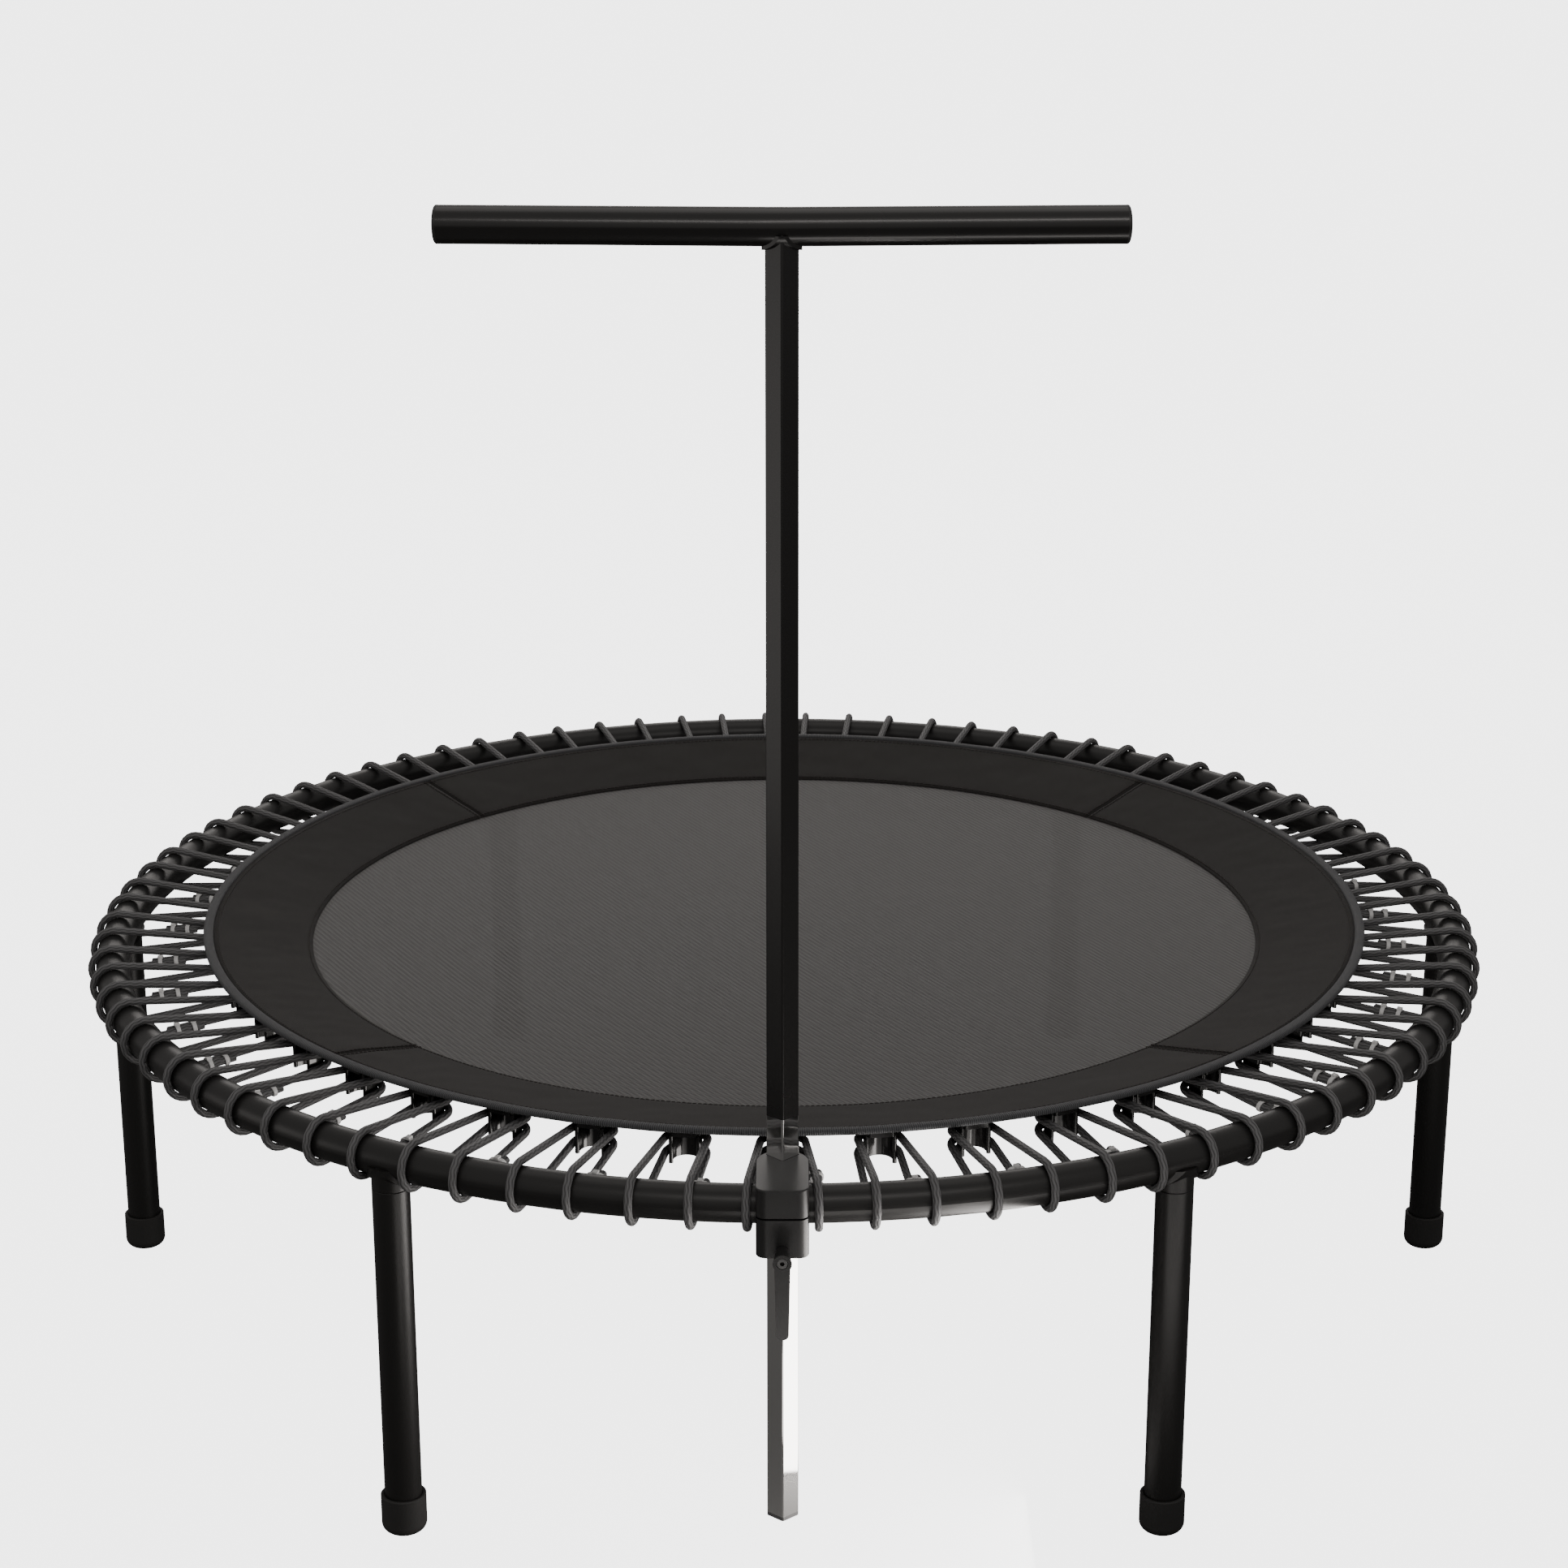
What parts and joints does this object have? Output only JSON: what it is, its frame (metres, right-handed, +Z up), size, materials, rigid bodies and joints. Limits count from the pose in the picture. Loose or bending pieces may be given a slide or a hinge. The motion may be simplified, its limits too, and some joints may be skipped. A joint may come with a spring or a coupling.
{
  "type": "mini trampoline",
  "caption": "Round mini trampoline with a mesh mat on bungee rings, screw-in legs and a clamped, height-adjustable handlebar mast.",
  "frame": {"origin": "middle of the jump surface, on its top face", "axes": "+Z up; the mast stands at -Y; +X to the right of a person who stands at -Y and looks along +Y"},
  "size_m": [1.2626, 1.2918, 1.0569],
  "materials": {
    "frame_black": "satin powder coat",
    "clamp_black": "satin powder coat",
    "lever_black": "satin powder coat",
    "bar_black": "satin powder coat",
    "post_chrome": "polished",
    "zinc_steel": "zinc plated",
    "screw_steel": "dark",
    "mesh_fabric": "woven mesh",
    "border_fabric": "woven polyester",
    "binding_fabric": "ribbed webbing",
    "webbing_fabric": "webbing",
    "anchor_plastic": "glossy",
    "cord_braid": "braided sheath",
    "white_plastic": "matt",
    "pad_plastic": "matt",
    "plug_plastic": "satin",
    "cap_plastic": "satin",
    "foot_rubber": "matt"
  },
  "bodies": {
    "frame": {"ring_tube": "frame_black", "leg_stubs": "frame_black", "stub_welds": "frame_black", "leg_studs": "zinc_steel", "bungee_rings": "cord_braid", "cord_ties": "white_plastic", "clamp_upper": "clamp_black", "clamp_lower": "clamp_black", "clamp_screws": "screw_steel", "press_pad": "pad_plastic"},
    "mat": {"jump_mesh": "mesh_fabric", "hem_band": "webbing_fabric", "edge_binding": "binding_fabric", "anchors": "anchor_plastic", "border_panel_1": "border_fabric", "border_panel_2": "border_fabric", "border_panel_3": "border_fabric", "border_panel_4": "border_fabric"},
    "lever": {"lever_handle": "lever_black", "lever_stud": "zinc_steel", "lever_screw": "screw_steel"},
    "lower_mast": {"lower_post": "post_chrome", "post_end_plug": "plug_plastic", "spigot": "zinc_steel"},
    "upper_mast": {"upper_post": "frame_black", "bar_weld": "frame_black", "handlebar": "bar_black", "bar_cap_left": "cap_plastic", "bar_cap_right": "cap_plastic"},
    "leg_1": {"leg_tube_1": "frame_black", "leg_insert_1": "zinc_steel", "foot_cap_1": "foot_rubber"},
    "leg_2": {"leg_tube_2": "frame_black", "leg_insert_2": "zinc_steel", "foot_cap_2": "foot_rubber"},
    "leg_3": {"leg_tube_3": "frame_black", "leg_insert_3": "zinc_steel", "foot_cap_3": "foot_rubber"},
    "leg_4": {"leg_tube_4": "frame_black", "leg_insert_4": "zinc_steel", "foot_cap_4": "foot_rubber"},
    "leg_5": {"leg_tube_5": "frame_black", "leg_insert_5": "zinc_steel", "foot_cap_5": "foot_rubber"},
    "leg_6": {"leg_tube_6": "frame_black", "leg_insert_6": "zinc_steel", "foot_cap_6": "foot_rubber"}
  },
  "joints": [
    {"name": "mat_bounce", "type": "slide", "parent": "frame", "child": "mat", "axis": [0, 0, 1], "range_m": [-0.1, 0], "stiffness_N_per_m": 6000, "springref_m": 0.02, "deforming": ["bungee_rings", "cord_ties"]},
    {"name": "lever_turn", "type": "hinge", "parent": "frame", "child": "lever", "pos_m": [0, -0.639, -0.0285], "axis": [0, -1, 0], "range_deg": [0, 180]},
    {"name": "mast_height", "type": "slide", "parent": "frame", "child": "lower_mast", "axis": [0, 0.0797, 0.9968], "range_m": [-0.025, 0.22]},
    {"name": "mast_pull_off", "type": "slide", "parent": "lower_mast", "child": "upper_mast", "axis": [0, 0.0797, 0.9968], "range_m": [0, 0.045]},
    {"name": "leg_1_unscrew", "type": "hinge", "parent": "frame", "child": "leg_1", "pos_m": [0.61, 0, -0.0275], "axis": [0, 0, -1], "range_deg": [0, 4800]},
    {"name": "leg_2_unscrew", "type": "hinge", "parent": "frame", "child": "leg_2", "pos_m": [0.305, 0.52828, -0.0275], "axis": [0, 0, -1], "range_deg": [0, 4800]},
    {"name": "leg_3_unscrew", "type": "hinge", "parent": "frame", "child": "leg_3", "pos_m": [-0.305, 0.52828, -0.0275], "axis": [0, 0, -1], "range_deg": [0, 4800]},
    {"name": "leg_4_unscrew", "type": "hinge", "parent": "frame", "child": "leg_4", "pos_m": [-0.61, 0, -0.0275], "axis": [0, 0, -1], "range_deg": [0, 4800]},
    {"name": "leg_5_unscrew", "type": "hinge", "parent": "frame", "child": "leg_5", "pos_m": [-0.305, -0.52828, -0.0275], "axis": [0, 0, -1], "range_deg": [0, 4800]},
    {"name": "leg_6_unscrew", "type": "hinge", "parent": "frame", "child": "leg_6", "pos_m": [0.305, -0.52828, -0.0275], "axis": [0, 0, -1], "range_deg": [0, 4800]}
  ]
}
